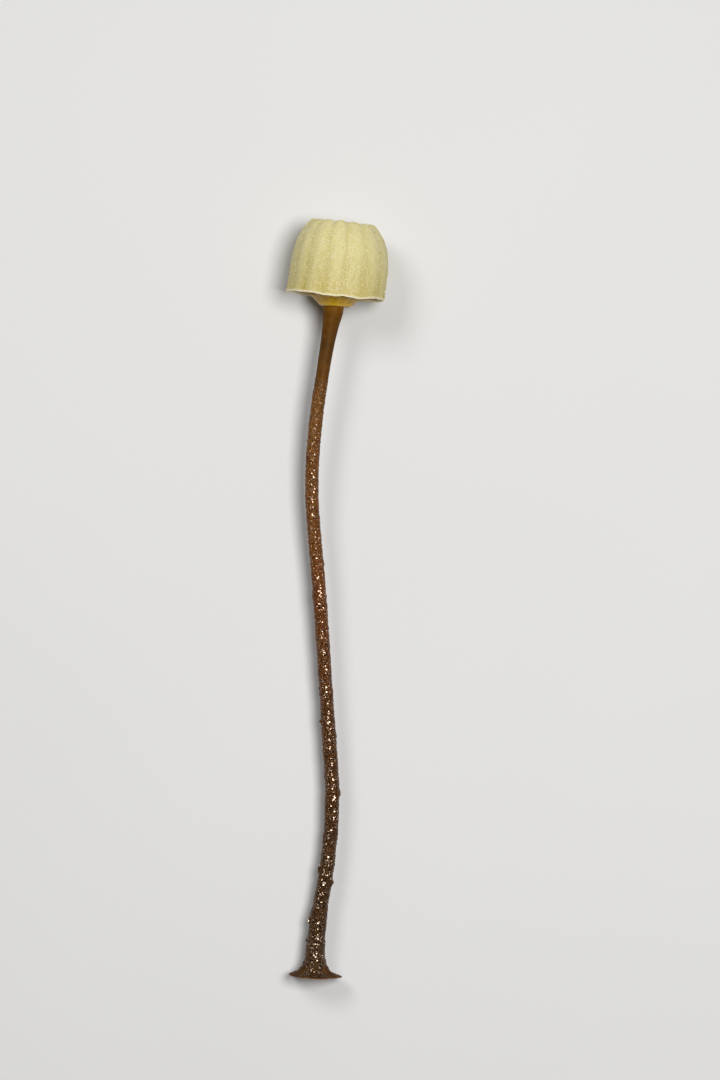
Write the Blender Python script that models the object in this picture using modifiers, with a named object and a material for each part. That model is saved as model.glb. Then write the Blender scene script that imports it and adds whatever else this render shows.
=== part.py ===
"""A small parachute-type mushroom, picked and lying on its side.

The mushroom is drawn as it grew, foot at the origin and +Z up, with the side that is looked at
facing -Y. An empty then lays it down: the cap's rim and the foot touch the surface, the stem
runs along +Y towards the cap, and the side that is looked at faces +Z.
"""

import math

import bmesh
import bpy
import numpy as np
from mathutils import Matrix, Vector, noise

MM = 0.001

# Gap kept between neighbouring pieces
GAP = 0.3 * MM

# Cap: a deep bell with a sunken crown and pleats that run from the crown to the rim
CAP_RADIUS = 3.97 * MM
CAP_HEIGHT = 5.94 * MM
CROWN_RADIUS = 2.30 * MM
CROWN_SINK = 0.50 * MM
CAP_WALL = 0.42 * MM
RIM_WALL = 0.26 * MM
PLEATS = 15
PLEAT_DEPTH = 0.11 * MM
PLEAT_DRIFT = math.radians(1.65)
CAP_BULGE = 0.10 * MM
STEPS_PER_PLEAT = 6

# Gills: plates under the pleats' creases, joined by a funnel-shaped collar round the stem's top
GILL_THICKNESS = 0.60 * MM
GILL_REACH = 3.16 * MM
GILL_TOP = 4.38 * MM
COLLAR_DROP = 0.84 * MM
COLLAR_LIP_RADIUS = 1.28 * MM
FUNNEL_RADIUS = 2.05 * MM
CORE_RADIUS = 1.50 * MM
COLLAR_STEPS = 45

# Stem: a thin bowed stalk, wider at its top, with a foot that flares into a thin disc
STEM_RADIUS = 0.53 * MM
STEM_TOP_RADIUS = 0.87 * MM
STEM_CORE_RADIUS = 0.72 * MM
FOOT_RADIUS = 2.15 * MM
FOOT_LOBE = 0.16 * MM
FOOT_HEIGHT = 1.60 * MM
NECK_LENGTH = 2.60 * MM
STEM_RELIEF = 0.05 * MM
STEM_LUMP_SIZE = 0.9 * MM
SMOOTH_TOP = 9.0 * MM
RINGS_PER_MM = 1.7
STEM_BEVEL_STEPS = 6

# (share of the foot's height, share of its radius)
FOOT_FLARE = [(0.0, 1.0), (0.13, 0.94), (0.22, 0.70), (0.34, 0.575), (0.55, 0.455), (1.0, 0.36)]

# (height in millimetres, share of the stem's radius)
SHAFT_TAPER = [(2.5, 1.34), (4.6, 1.24), (6.5, 1.08), (9.0, 1.04), (14.0, 1.06), (24.0, 0.98)]

# (share of the neck's length below the collar, share of the top's radius)
NECK_FLARE = [(1.9, 0.60), (1.0, 0.65), (0.62, 0.72), (0.27, 0.83), (0.0, 1.0)]

# The stem's middle line from the foot to the rim: (sideways, towards the back, up)
STEM_LINE = [
    (-0.08, 0.00, 0.0),
    (0.06, 0.02, 2.6),
    (0.32, 0.05, 5.0),
    (1.06, 0.12, 9.6),
    (1.36, 0.22, 14.6),
    (1.02, 0.30, 20.6),
    (0.38, 0.26, 30.2),
    (-0.25, 0.12, 38.6),
    (0.02, 0.02, 44.0),
    (0.66, 0.00, 48.6),
    (1.36, 0.00, 53.2),
]
RIM_CENTRE = Vector((1.59, 0.00, 54.46)) * MM
CROWN_CENTRE = Vector((2.26, -0.12, 60.36)) * MM

# How the rim rises and falls: (degrees from the side that is looked at, height in millimetres)
RIM_LINE = [
    (-180, 0.02),
    (-150, -0.06),
    (-118, 0.04),
    (-84, 0.00),
    (-50, 0.03),
    (-33, 0.00),
    (-12, -0.09),
    (0, -0.14),
    (13, -0.02),
    (29, -0.11),
    (49, 0.10),
    (80, 0.06),
    (112, -0.04),
    (146, 0.05),
    (180, 0.02),
]

# How deep the soft flesh is pressed flat where it rests
REST_FLAT = 0.09 * MM


def clear_scene():
    for old in list(bpy.data.objects):
        bpy.data.objects.remove(old)


def new_collection(name):
    made = bpy.data.collections.new(name)
    bpy.context.scene.collection.children.link(made)
    return made


def new_material(name, colour, roughness):
    material = bpy.data.materials.new(name)
    material.use_nodes = True
    shader = material.node_tree.nodes["Principled BSDF"]
    shader.inputs["Base Color"].default_value = (*colour, 1.0)
    shader.inputs["Roughness"].default_value = roughness
    shader.inputs["Metallic"].default_value = 0.0
    return material


def add_object(name, data, collection, material=None):
    made = bpy.data.objects.new(name, data)
    collection.objects.link(made)
    if material:
        made.data.materials.append(material)
    return made


def mesh_of(source, name):
    """The evaluated mesh of an object, welded, in the object's parent space."""
    bpy.context.view_layer.update()
    evaluated = source.evaluated_get(bpy.context.evaluated_depsgraph_get())
    mesh = bpy.data.meshes.new_from_object(evaluated)
    mesh.transform(source.matrix_world)
    mesh.name = name
    shape = bmesh.new()
    shape.from_mesh(mesh)
    bmesh.ops.remove_doubles(shape, verts=shape.verts, dist=0.002 * MM)
    shape.to_mesh(mesh)
    shape.free()
    return mesh


def smooth_line(points, per_step):
    """A Catmull-Rom curve through the points, with per_step places on each stretch."""
    ends = [points[0] * 2 - points[1], *points, points[-1] * 2 - points[-2]]
    line = []
    for a, b, c, d in zip(ends, ends[1:], ends[2:], ends[3:]):
        for i in range(per_step):
            t = i / per_step
            line.append(
                b
                + (c - a) * (t / 2)
                + (a * 2 - b * 5 + c * 4 - d) * (t * t / 2)
                + (b * 3 - a - c * 3 + d) * (t * t * t / 2)
            )
    line.append(points[-1].copy())
    return line


def turned(name, profile, steps, collection):
    """A closed profile of (radius, height) points turned round the Z axis."""
    outline = bpy.data.meshes.new(name)
    points = [(radius, 0.0, height) for radius, height in profile]
    edges = [(i, i + 1) for i in range(len(points) - 1)]
    outline.from_pydata(points, edges, [])
    source = add_object(name, outline, collection)
    screw = source.modifiers.new("turn", "SCREW")
    screw.steps = screw.render_steps = steps
    screw.use_merge_vertices = True
    screw.merge_threshold = 0.00001
    return source


def cap_frame():
    """From the cap's own space, rim at the origin and axis along Z, to the growing mushroom's."""
    axis = (CROWN_CENTRE - RIM_CENTRE).normalized()
    side = Vector((0.0, 1.0, 0.0)).cross(axis).normalized()
    back = axis.cross(side)
    turn = Matrix((side, back, axis)).transposed().to_4x4()
    return Matrix.Translation(RIM_CENTRE) @ turn


def crease_phase(angle):
    """The pleats' own angle: they drift a little to the left on the side that is looked at."""
    from_front = angle + math.pi / 2
    return from_front + PLEAT_DRIFT * (1 + math.cos(from_front))


def cap_outside():
    """(radius, height) from the crown's middle over the shoulder down to the rim's edge."""
    crown = CAP_HEIGHT - CROWN_SINK
    return [
        (0.0, crown),
        (0.35 * CROWN_RADIUS, crown + 0.04 * CROWN_SINK),
        (0.68 * CROWN_RADIUS, crown + 0.42 * CROWN_SINK),
        (0.88 * CROWN_RADIUS, crown + 0.84 * CROWN_SINK),
        (1.04 * CROWN_RADIUS, CAP_HEIGHT),
        (0.68 * CAP_RADIUS, 0.970 * CAP_HEIGHT),
        (0.75 * CAP_RADIUS, 0.918 * CAP_HEIGHT),
        (0.845 * CAP_RADIUS, 0.820 * CAP_HEIGHT),
        (0.905 * CAP_RADIUS, 0.720 * CAP_HEIGHT),
        (0.945 * CAP_RADIUS, 0.620 * CAP_HEIGHT),
        (0.975 * CAP_RADIUS, 0.500 * CAP_HEIGHT),
        (0.99 * CAP_RADIUS, 0.330 * CAP_HEIGHT),
        (0.99 * CAP_RADIUS, 0.160 * CAP_HEIGHT),
        (CAP_RADIUS, 0.020 * CAP_HEIGHT),
    ]


def cap_inside():
    """(radius, height) from the rim's inner edge up the wall to the middle of the roof."""
    roof = GILL_TOP + GAP
    wall = CAP_RADIUS - CAP_WALL
    return [
        (CAP_RADIUS - 0.4 * RIM_WALL, -0.02 * MM),
        (CAP_RADIUS - RIM_WALL, 0.02 * CAP_HEIGHT),
        (wall, 0.14 * CAP_HEIGHT),
        (0.985 * wall, 0.45 * CAP_HEIGHT),
        (0.93 * wall, 0.62 * CAP_HEIGHT),
        (0.81 * wall, 0.77 * CAP_HEIGHT),
        (0.62 * wall, roof + 0.16 * MM),
        (0.30 * wall, roof + 0.06 * MM),
        (0.0, roof + 0.06 * MM),
    ]


def pleat(shape):
    """Draws creases into a turned bell and makes its rim and sides a little uneven."""
    turns, heights = np.array(RIM_LINE).T
    for vertex in shape.verts:
        across = vertex.co.xy.length
        if across < 0.05 * MM:
            continue
        angle = math.atan2(vertex.co.y, vertex.co.x)
        crease = (1 - math.cos(PLEATS * crease_phase(angle))) / 2
        rise = vertex.co.z / CAP_HEIGHT
        fade = min(1.0, across / CROWN_RADIUS) ** 2
        out = across - PLEAT_DEPTH * fade * crease**1.5
        near_crown = math.exp(-(((rise - 1.0) / 0.12) ** 2))
        near_rim = math.exp(-((rise / 0.12) ** 2))
        vertex.co.xy *= out / across
        vertex.co.x += CAP_BULGE * math.sin(math.pi * min(1.0, max(0.0, rise)))
        vertex.co.z -= 0.6 * PLEAT_DEPTH * fade * near_crown * crease
        from_front = (math.degrees(angle) + 270) % 360 - 180
        vertex.co.z += near_rim * float(np.interp(from_front, turns, heights)) * MM


def build_cap(collection, material):
    source = turned("cap_profile", cap_outside() + cap_inside(), PLEATS * STEPS_PER_PLEAT, collection)
    mesh = mesh_of(source, "cap")
    bpy.data.objects.remove(source)
    shape = bmesh.new()
    shape.from_mesh(mesh)
    pleat(shape)
    bmesh.ops.recalc_face_normals(shape, faces=shape.faces)
    shape.to_mesh(mesh)
    shape.free()
    mesh.transform(cap_frame())
    mesh.shade_smooth()
    return add_object("cap", mesh, collection, material)


def collar_profile():
    """The ring round the stem's top and the funnel that carries the gills' inner ends."""
    bore = STEM_CORE_RADIUS + GAP
    return [
        (bore, GILL_TOP),
        (CORE_RADIUS, GILL_TOP),
        (CORE_RADIUS, 0.55 * MM),
        (FUNNEL_RADIUS, 0.10 * MM),
        (FUNNEL_RADIUS, -0.09 * COLLAR_DROP),
        (0.90 * FUNNEL_RADIUS, -0.25 * COLLAR_DROP),
        (0.77 * FUNNEL_RADIUS, -0.56 * COLLAR_DROP),
        (1.06 * COLLAR_LIP_RADIUS, -0.86 * COLLAR_DROP),
        (COLLAR_LIP_RADIUS, -0.97 * COLLAR_DROP),
        (bore + 0.08 * MM, -COLLAR_DROP),
        (bore, -COLLAR_DROP + 0.08 * MM),
        (bore, GILL_TOP),
    ]


def gill_outline():
    """One gill seen from its side, as (radius, height): free edge below, attached edge above."""
    root = STEM_CORE_RADIUS + GAP + 0.15 * MM
    reach = GILL_REACH
    return [
        (root, 0.00 * MM),
        (0.90 * FUNNEL_RADIUS, -0.19 * MM),
        (1.12 * FUNNEL_RADIUS, -0.10 * MM),
        (0.88 * reach, 0.07 * MM),
        (reach, 0.26 * MM),
        (1.005 * reach, 0.30 * GILL_TOP),
        (0.985 * reach, 0.55 * GILL_TOP),
        (0.92 * reach, 0.75 * GILL_TOP),
        (0.76 * reach, 0.92 * GILL_TOP),
        (0.50 * reach, 0.985 * GILL_TOP),
        (root, 0.985 * GILL_TOP),
    ]


def gill_angles():
    """The creases' angles, where the gills hang. The drift is undone by a few passes."""
    angles = []
    for i in range(PLEATS):
        wanted = (i + 0.5) * 2 * math.pi / PLEATS
        from_front = wanted
        for _ in range(8):
            from_front = wanted - PLEAT_DRIFT * (1 + math.cos(from_front))
        angles.append(from_front - math.pi / 2)
    return angles


def gill_blade(name, angle, collection):
    """A flat plate of the gill's outline, standing on a radius of the cap."""
    blade = bpy.data.curves.new(name, "CURVE")
    blade.dimensions = "2D"
    blade.fill_mode = "BOTH"
    blade.extrude = GILL_THICKNESS / 2
    outline = gill_outline()
    spline = blade.splines.new("POLY")
    spline.points.add(len(outline) - 1)
    for point, (radius, height) in zip(spline.points, outline):
        point.co = (radius, height, 0.0, 1.0)
    spline.use_cyclic_u = True
    source = add_object(name + "_outline", blade, collection)
    source.rotation_euler = (math.pi / 2, 0.0, angle)
    mesh = mesh_of(source, name)
    bpy.data.objects.remove(source)
    return add_object(name, mesh, collection)


def build_gills(collection, material):
    source = turned("collar_profile", collar_profile(), COLLAR_STEPS, collection)
    mesh = mesh_of(source, "gills")
    bpy.data.objects.remove(source)
    gills = add_object("gills", mesh, collection, material)
    repeats = bpy.data.collections.new("gill_blades")
    bpy.context.scene.collection.children.link(repeats)
    for i, angle in enumerate(gill_angles()):
        gill_blade(f"gill_{i + 1:02d}", angle, repeats)
    join = gills.modifiers.new("join_gills", "BOOLEAN")
    join.operation = "UNION"
    join.operand_type = "COLLECTION"
    join.collection = repeats
    join.solver = "EXACT"
    joined = mesh_of(gills, "gills_joined")
    gills.modifiers.remove(join)
    for blade in list(repeats.objects):
        bpy.data.objects.remove(blade)
    bpy.data.collections.remove(repeats)
    gills.data = joined
    joined.transform(cap_frame())
    return gills


def stem_radius(along, total):
    """The stem's radius at a distance from the foot, with total the distance to the collar."""
    foot = [(share * FOOT_HEIGHT, size * FOOT_RADIUS) for share, size in FOOT_FLARE]
    shaft = [(height * MM, size * STEM_RADIUS) for height, size in SHAFT_TAPER]
    neck = [(total - share * NECK_LENGTH, size * STEM_TOP_RADIUS) for share, size in NECK_FLARE]
    places, radii = zip(*foot, *shaft, *neck)
    return float(np.interp(along, places, radii))


def stem_points():
    """The stem's rings as (place, radius), from the foot's underside to the cap's roof."""
    axis = (CROWN_CENTRE - RIM_CENTRE).normalized()
    under_collar = RIM_CENTRE - axis * (COLLAR_DROP + GAP)
    line = [Vector(point) * MM for point in STEM_LINE[:-1]] + [under_collar]
    fine = smooth_line(line, 40)
    along = np.array([0.0, *np.cumsum([(b - a).length for a, b in zip(fine, fine[1:])])])
    total = float(along[-1])
    foot_rings = [share * FOOT_HEIGHT for share, _ in FOOT_FLARE]
    shaft_start = 1.4 * FOOT_HEIGHT
    shaft_end = total - 1.25 * NECK_LENGTH
    count = round((shaft_end - shaft_start) / MM * RINGS_PER_MM)
    shaft_rings = np.linspace(shaft_start, shaft_end, count)
    top_rings = [total - share * NECK_LENGTH for share in (0.93, 0.62, 0.31, 0.0)]
    rings = []
    for place in [*foot_rings, *shaft_rings, *top_rings]:
        index = min(len(fine) - 2, int(np.searchsorted(along, place, side="right")) - 1)
        share = (place - along[index]) / (along[index + 1] - along[index])
        rings.append((fine[index].lerp(fine[index + 1], share), stem_radius(place, total)))
    rings.append((RIM_CENTRE - axis * (COLLAR_DROP - 0.02 * MM), STEM_CORE_RADIUS))
    rings.append((RIM_CENTRE + axis * (GILL_TOP / 2), STEM_CORE_RADIUS))
    rings.append((RIM_CENTRE + axis * GILL_TOP, STEM_CORE_RADIUS))
    return rings


def roughen_stem(shape):
    """Lumps along the shaft, and uneven lobes round the foot's thin edge."""
    top = RIM_CENTRE.z - COLLAR_DROP - SMOOTH_TOP
    lobed_height = 0.3 * FOOT_HEIGHT
    for vertex in shape.verts:
        height = vertex.co.z
        above_foot = min(1.0, max(0.0, (height - 0.6 * FOOT_HEIGHT) / MM))
        below_top = min(1.0, max(0.0, (top - height) / SMOOTH_TOP))
        lump = noise.noise(vertex.co / STEM_LUMP_SIZE) * STEM_RELIEF * above_foot * below_top
        vertex.co += vertex.normal * lump
        foot = max(0.0, 1 - height / lobed_height)
        if foot > 0 and vertex.co.xy.length > FOOT_RADIUS / 2:
            angle = math.atan2(vertex.co.y, vertex.co.x)
            lobe = FOOT_LOBE * foot * (math.sin(3 * angle + 0.5) + 0.6 * math.sin(5 * angle + 2.0))
            vertex.co.xy *= 1 + lobe / vertex.co.xy.length


def build_stem(collection, material):
    curve = bpy.data.curves.new("stem_line", "CURVE")
    curve.dimensions = "3D"
    curve.bevel_depth = STEM_RADIUS
    curve.bevel_resolution = STEM_BEVEL_STEPS
    curve.use_fill_caps = True
    rings = stem_points()
    spline = curve.splines.new("POLY")
    spline.points.add(len(rings) - 1)
    for point, (place, radius) in zip(spline.points, rings):
        point.co = (*place, 1.0)
        point.radius = radius / STEM_RADIUS
    source = add_object("stem_line", curve, collection)
    mesh = mesh_of(source, "stem")
    bpy.data.objects.remove(source)
    shape = bmesh.new()
    shape.from_mesh(mesh)
    bmesh.ops.recalc_face_normals(shape, faces=shape.faces)
    shape.normal_update()
    roughen_stem(shape)
    shape.to_mesh(mesh)
    shape.free()
    mesh.shade_smooth()
    return add_object("stem", mesh, collection, material)


def corners_of(node):
    return np.array([vertex.co[:] for vertex in node.data.vertices])


def resting_matrix(cap, stem):
    """Lays the mushroom down so that the cap's rim and the foot's edge are equally low."""
    cap_points = corners_of(cap)
    foot_points = corners_of(stem)
    foot_points = foot_points[foot_points[:, 2] < 3 * MM]

    def heights(points, tilt):
        return points[:, 2] * math.sin(tilt) - points[:, 1] * math.cos(tilt)

    low, high = 0.0, math.radians(10)
    for _ in range(50):
        tilt = (low + high) / 2
        if heights(cap_points, tilt).min() < heights(foot_points, tilt).min():
            low = tilt
        else:
            high = tilt
    laid = Matrix.Rotation(tilt, 4, "X") @ Matrix.Rotation(-math.pi / 2, 4, "X")
    points = np.vstack([corners_of(cap), corners_of(stem)])
    placed = points @ np.array(laid.to_3x3()).T
    lowest, highest = placed.min(axis=0), placed.max(axis=0)
    middle = (lowest + highest) / 2
    drop = Vector((-middle[0], -middle[1], -lowest[2] - REST_FLAT))
    print("tilt", round(math.degrees(tilt), 4), "shift mm", [round(x / MM, 4) for x in drop])
    return Matrix.Translation(drop) @ laid


def surface_block(size, collection):
    """The surface the mushroom lies on, as a cutter whose top face is at the base plane."""
    shape = bmesh.new()
    bmesh.ops.create_cube(shape, size=1.0)
    mesh = bpy.data.meshes.new("surface_block")
    shape.to_mesh(mesh)
    shape.free()
    mesh.transform(Matrix.Diagonal((*size, 1.0)))
    mesh.transform(Matrix.Translation((0.0, 0.0, -size[2] / 2)))
    block = add_object("surface_block", mesh, collection)
    block.hide_render = True
    block.display_type = "WIRE"
    return block


def press_flat(node, block):
    cut = node.modifiers.new("press_flat", "BOOLEAN")
    cut.operation = "DIFFERENCE"
    cut.object = block
    cut.solver = "EXACT"


def build_mushroom():
    clear_scene()
    parts = new_collection("parachute_mushroom")
    cutters = new_collection("cutters")
    cap = build_cap(parts, new_material("cap_flesh", (0.68, 0.64, 0.33), 0.55))
    gills = build_gills(parts, new_material("gill_flesh", (0.36, 0.25, 0.04), 0.50))
    stem = build_stem(parts, new_material("stem_rind", (0.16, 0.055, 0.015), 0.45))
    pose = bpy.data.objects.new("lying_pose", None)
    parts.objects.link(pose)
    pose.matrix_world = resting_matrix(cap, stem)
    for node in (cap, gills, stem):
        node.parent = pose
    block = surface_block((20 * MM, 80 * MM, 5 * MM), cutters)
    press_flat(cap, block)
    press_flat(stem, block)


build_mushroom()
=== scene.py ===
# A small parachute-type mushroom, picked and lying on its side, seen from above
import math

import bpy
import numpy as np
from mathutils import Matrix, Vector, noise


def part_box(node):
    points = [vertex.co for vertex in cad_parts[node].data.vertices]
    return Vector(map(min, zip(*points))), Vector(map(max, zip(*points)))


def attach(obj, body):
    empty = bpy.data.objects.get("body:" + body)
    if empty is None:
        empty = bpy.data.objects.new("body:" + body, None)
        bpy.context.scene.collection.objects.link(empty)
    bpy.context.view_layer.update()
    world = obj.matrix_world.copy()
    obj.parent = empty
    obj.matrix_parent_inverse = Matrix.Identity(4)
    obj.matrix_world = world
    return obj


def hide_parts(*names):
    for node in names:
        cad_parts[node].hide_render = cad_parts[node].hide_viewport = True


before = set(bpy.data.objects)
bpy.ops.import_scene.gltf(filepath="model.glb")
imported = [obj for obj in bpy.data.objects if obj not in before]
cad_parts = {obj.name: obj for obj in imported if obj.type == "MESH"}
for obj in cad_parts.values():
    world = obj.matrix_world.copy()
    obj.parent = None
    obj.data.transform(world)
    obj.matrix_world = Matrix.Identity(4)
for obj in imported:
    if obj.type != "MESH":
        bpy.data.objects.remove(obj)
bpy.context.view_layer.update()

mm = 0.001

# The mushroom is modelled as it grew: foot at the origin, +Z up, the side that is looked at
# facing -Y. It is laid down at the end, as the CAD model is.
growth = dict(
    # mm, the middle of the cap's rim and of its crown, which give its axis
    rimCentre=(1.59, 0.0, 54.46),
    crownCentre=(2.26, -0.12, 60.36),
    layTilt=2.0224,  # degrees, so that the cap's rim and the foot both touch the surface
    layShift=(-1.7739, -30.2466, 1.8853),
)


# Helpers

def smoothLine(points, steps):
    # a Catmull-Rom line through the points, with that many places on each stretch
    points = [np.array(p, float) for p in points]
    ends = [2 * points[0] - points[1], *points, 2 * points[-1] - points[-2]]
    line = []
    for a, b, c, d in zip(ends, ends[1:], ends[2:], ends[3:]):
        for i in range(steps):
            t = i / steps
            line.append(b + (c - a) * t / 2 + (2 * a - 5 * b + 4 * c - d) * t**2 / 2
                        + (3 * b - a - 3 * c + d) * t**3 / 2)
    return line + [points[-1]]


def evenLine(points, count):
    # the same smooth line, with count places at even distances
    line = np.array(smoothLine(points, 24))
    along = np.append(0.0, np.cumsum(np.linalg.norm(np.diff(line, axis=0), axis=1)))
    places = np.linspace(0, along[-1], count)
    return np.stack([np.interp(places, along, line[:, k]) for k in range(line.shape[1])], axis=1)


def ringShell(name, sides, rings):
    # a circle drawn out ring by ring along (radius, height) in mm; a ring on the axis is a closed end
    bpy.ops.object.select_all(action="DESELECT")
    fill = "TRIFAN" if rings[0][0] == 0 else "NOTHING"
    first = 1 if rings[0][0] == 0 else 0
    radius, height = rings[first]
    bpy.ops.mesh.primitive_circle_add(vertices=sides, radius=radius * mm, fill_type=fill)
    piece = bpy.context.active_object
    piece.name = piece.data.name = name
    bpy.ops.object.mode_set(mode="EDIT")
    bpy.ops.mesh.select_all(action="SELECT")
    bpy.ops.transform.translate(value=(0, 0, height * mm))
    if first:
        bpy.ops.mesh.region_to_loop()
    for nextRadius, nextHeight in rings[first + 1:]:
        bpy.ops.mesh.extrude_region_move(
            TRANSFORM_OT_translate={"value": (0, 0, (nextHeight - height) * mm)})
        if nextRadius == 0:
            bpy.ops.mesh.merge(type="CENTER")
            break
        grow = nextRadius / radius
        bpy.ops.transform.resize(value=(grow, grow, 1), center_override=(0, 0, nextHeight * mm))
        radius, height = nextRadius, nextHeight
    bpy.ops.mesh.select_all(action="SELECT")
    bpy.ops.mesh.remove_doubles(threshold=0.0002 * mm)
    bpy.ops.mesh.normals_make_consistent(inside=False)
    bpy.ops.object.mode_set(mode="OBJECT")
    return piece


def applyModifier(piece, kind, **settings):
    bpy.ops.object.select_all(action="DESELECT")
    bpy.context.view_layer.objects.active = piece
    piece.select_set(True)
    modifier = piece.modifiers.new(kind.lower(), kind)
    for key, value in settings.items():
        setattr(modifier, key, value)
    bpy.ops.object.modifier_apply(modifier=modifier.name)


def points(piece):
    found = np.empty(len(piece.data.vertices) * 3)
    piece.data.vertices.foreach_get("co", found)
    return found.reshape(-1, 3)


def movePoints(piece, places):
    piece.data.vertices.foreach_set("co", np.asarray(places, float).ravel())
    piece.data.update()


def normals(piece):
    found = np.empty(len(piece.data.vertices) * 3)
    piece.data.vertices.foreach_get("normal", found)
    return found.reshape(-1, 3)


def storeShare(piece, name, values):
    # a number from 0 to 1 on each vertex, which the piece's material reads by its name
    attribute = piece.data.attributes.new(name, "FLOAT", "POINT")
    attribute.data.foreach_set("value", np.clip(values, 0, 1).astype(np.float32))


def noiseAt(places, size, seed=0.0):
    # smooth noise from -1 to 1 at points in metres, with lumps of that size in mm
    scaled = np.asarray(places) / (np.asarray(size, float) * mm) + seed
    return np.array([noise.noise(Vector(p)) for p in scaled])


def grainsAt(places, size, seed=0.0):
    # round grains: 1 at each grain's middle, falling to 0 at its edge, with a share for each grain
    heights = np.empty(len(places))
    for i, place in enumerate(np.asarray(places) / (size * mm) + seed):
        distances, centres = noise.voronoi(Vector(place))
        dome = max(0.0, 1 - (distances[0] / 0.62) ** 2)
        heights[i] = dome * (0.35 + 0.65 * noise.cell(centres[0] * 3.7 + Vector((seed, 0.5, 0.5))))
    return heights


def netAt(places, size, seed=0.0):
    # a net of low ridges round small pits: 1 on the ridges, 0 in the pits
    heights = np.empty(len(places))
    for i, place in enumerate(np.asarray(places) / (size * mm) + seed):
        distances, _ = noise.voronoi(Vector(place))
        heights[i] = min(1.0, max(0.0, 1.35 - (distances[1] - distances[0]) / 0.34))
    return heights


grainBase = dict(corners=6, radius=0.9, sunk=0.4)  # the last two are shares of a grain's size


def strewGrains(name, steps, spots, facing, sideways, sizes):
    # one six-sided grain with a flat top, doubled in edit mode until there are enough, each then set
    # into its own spot of the skin
    bpy.ops.object.select_all(action="DESELECT")
    bpy.ops.mesh.primitive_circle_add(vertices=grainBase["corners"], radius=grainBase["radius"],
                                      fill_type="NGON", location=(0, 0, -grainBase["sunk"]))
    piece = bpy.context.active_object
    piece.name = piece.data.name = name
    bpy.ops.object.transform_apply(location=True)
    bpy.ops.object.mode_set(mode="EDIT")
    bpy.ops.mesh.select_all(action="SELECT")
    for rise, grow in steps:
        bpy.ops.mesh.extrude_region_move(TRANSFORM_OT_translate={"value": (0, 0, rise)})
        bpy.ops.transform.resize(value=(grow, grow, 1))
    bpy.ops.mesh.select_all(action="SELECT")
    bpy.ops.mesh.normals_make_consistent(inside=False)
    for _ in range(round(math.log2(len(spots)))):
        bpy.ops.mesh.select_all(action="SELECT")
        bpy.ops.mesh.duplicate()
    bpy.ops.object.mode_set(mode="OBJECT")
    corners = len(piece.data.vertices) // len(spots)
    grains = points(piece).reshape(-1, corners, 3) * sizes[:, None, None] * mm
    facing = facing / np.linalg.norm(facing, axis=1)[:, None]
    side = np.cross(facing, sideways)
    side /= np.linalg.norm(side, axis=1)[:, None]
    frames = np.stack([side, np.cross(facing, side), facing], axis=1)
    movePoints(piece, spots[:, None, :] + np.einsum("nij,njk->nik", grains, frames))
    return piece


def capFrame():
    # from the cap's own space, rim at the origin and axis along +Z, to the growing mushroom's
    rim, crown = Vector(growth["rimCentre"]) * mm, Vector(growth["crownCentre"]) * mm
    axis = (crown - rim).normalized()
    side = Vector((0, 1, 0)).cross(axis).normalized()
    turn = Matrix((side, axis.cross(side), axis)).transposed().to_4x4()
    return Matrix.Translation(rim) @ turn


def layDown():
    shift = Matrix.Translation(Vector(growth["layShift"]) * mm)
    return shift @ Matrix.Rotation(math.radians(growth["layTilt"]) - math.pi / 2, 4, "X")


def finishPiece(piece, node, material, turn, smooth=True):
    piece.data.transform(layDown() @ turn)
    places = points(piece)
    places[:, 2] = np.maximum(places[:, 2], 0.0)  # soft flesh is pressed flat where it rests
    movePoints(piece, places)
    piece.data.materials.clear()
    piece.data.materials.append(material)
    if smooth:
        piece.data.shade_smooth()
    else:
        piece.data.shade_flat()
    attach(piece, "root")
    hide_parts(node)


# Materials

def hexColour(code):
    # sRGB hex to linear
    parts = [int(code[i:i + 2], 16) / 255 for i in (0, 2, 4)]
    return (*(p / 12.92 if p <= 0.04045 else ((p + 0.055) / 1.055) ** 2.4 for p in parts), 1.0)


def setInputs(tree, node, links):
    # gives each input a value or another node's output
    for key, value in links.items():
        if isinstance(value, bpy.types.NodeSocket):
            tree.links.new(value, node.inputs[key])
        else:
            node.inputs[key].default_value = value


def addNode(tree, kind, links=None, stops=None, **settings):
    # one node with its settings, its inputs and, for a ramp, its stops
    node = tree.nodes.new(kind)
    for key, value in settings.items():
        setattr(node, key, value)
    setInputs(tree, node, links or {})
    if stops:
        ramp = node.color_ramp.elements
        while len(ramp) < len(stops):
            ramp.new(0.5)
        for element, (place, code) in zip(ramp, stops):
            element.position = place
            element.color = hexColour(code)
    return node


def newMaterial(name):
    material = bpy.data.materials.new(name)
    material.use_nodes = True
    return material, material.node_tree, material.node_tree.nodes["Principled BSDF"]


def mixColours(tree, share, first, second):
    links = {0: share, 6: first, 7: second}
    return addNode(tree, "ShaderNodeMix", links, data_type="RGBA").outputs[2]


capFlesh = dict(
    ridge="d4cb93",  # pale cream with a little yellow
    # the crease colour is a painted shade, used in the creases and down towards the rim
    crease="b4a350",
    lip="f6ebce",  # the rim's edge is nearly white
    inside="dcbc92",  # the inner wall's own warmer tan, made paler as painted light for the light that shines through the thin wall
    crown="b59f5c",
    sheen="ffe34e",  # tint of the soft glow along the cap's sides
    mottle=0.34,  # mm, cloudy patches in the flesh
    fibre=0.085,  # mm, fine grain along the pleats, drawn coarser than it is
)


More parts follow.
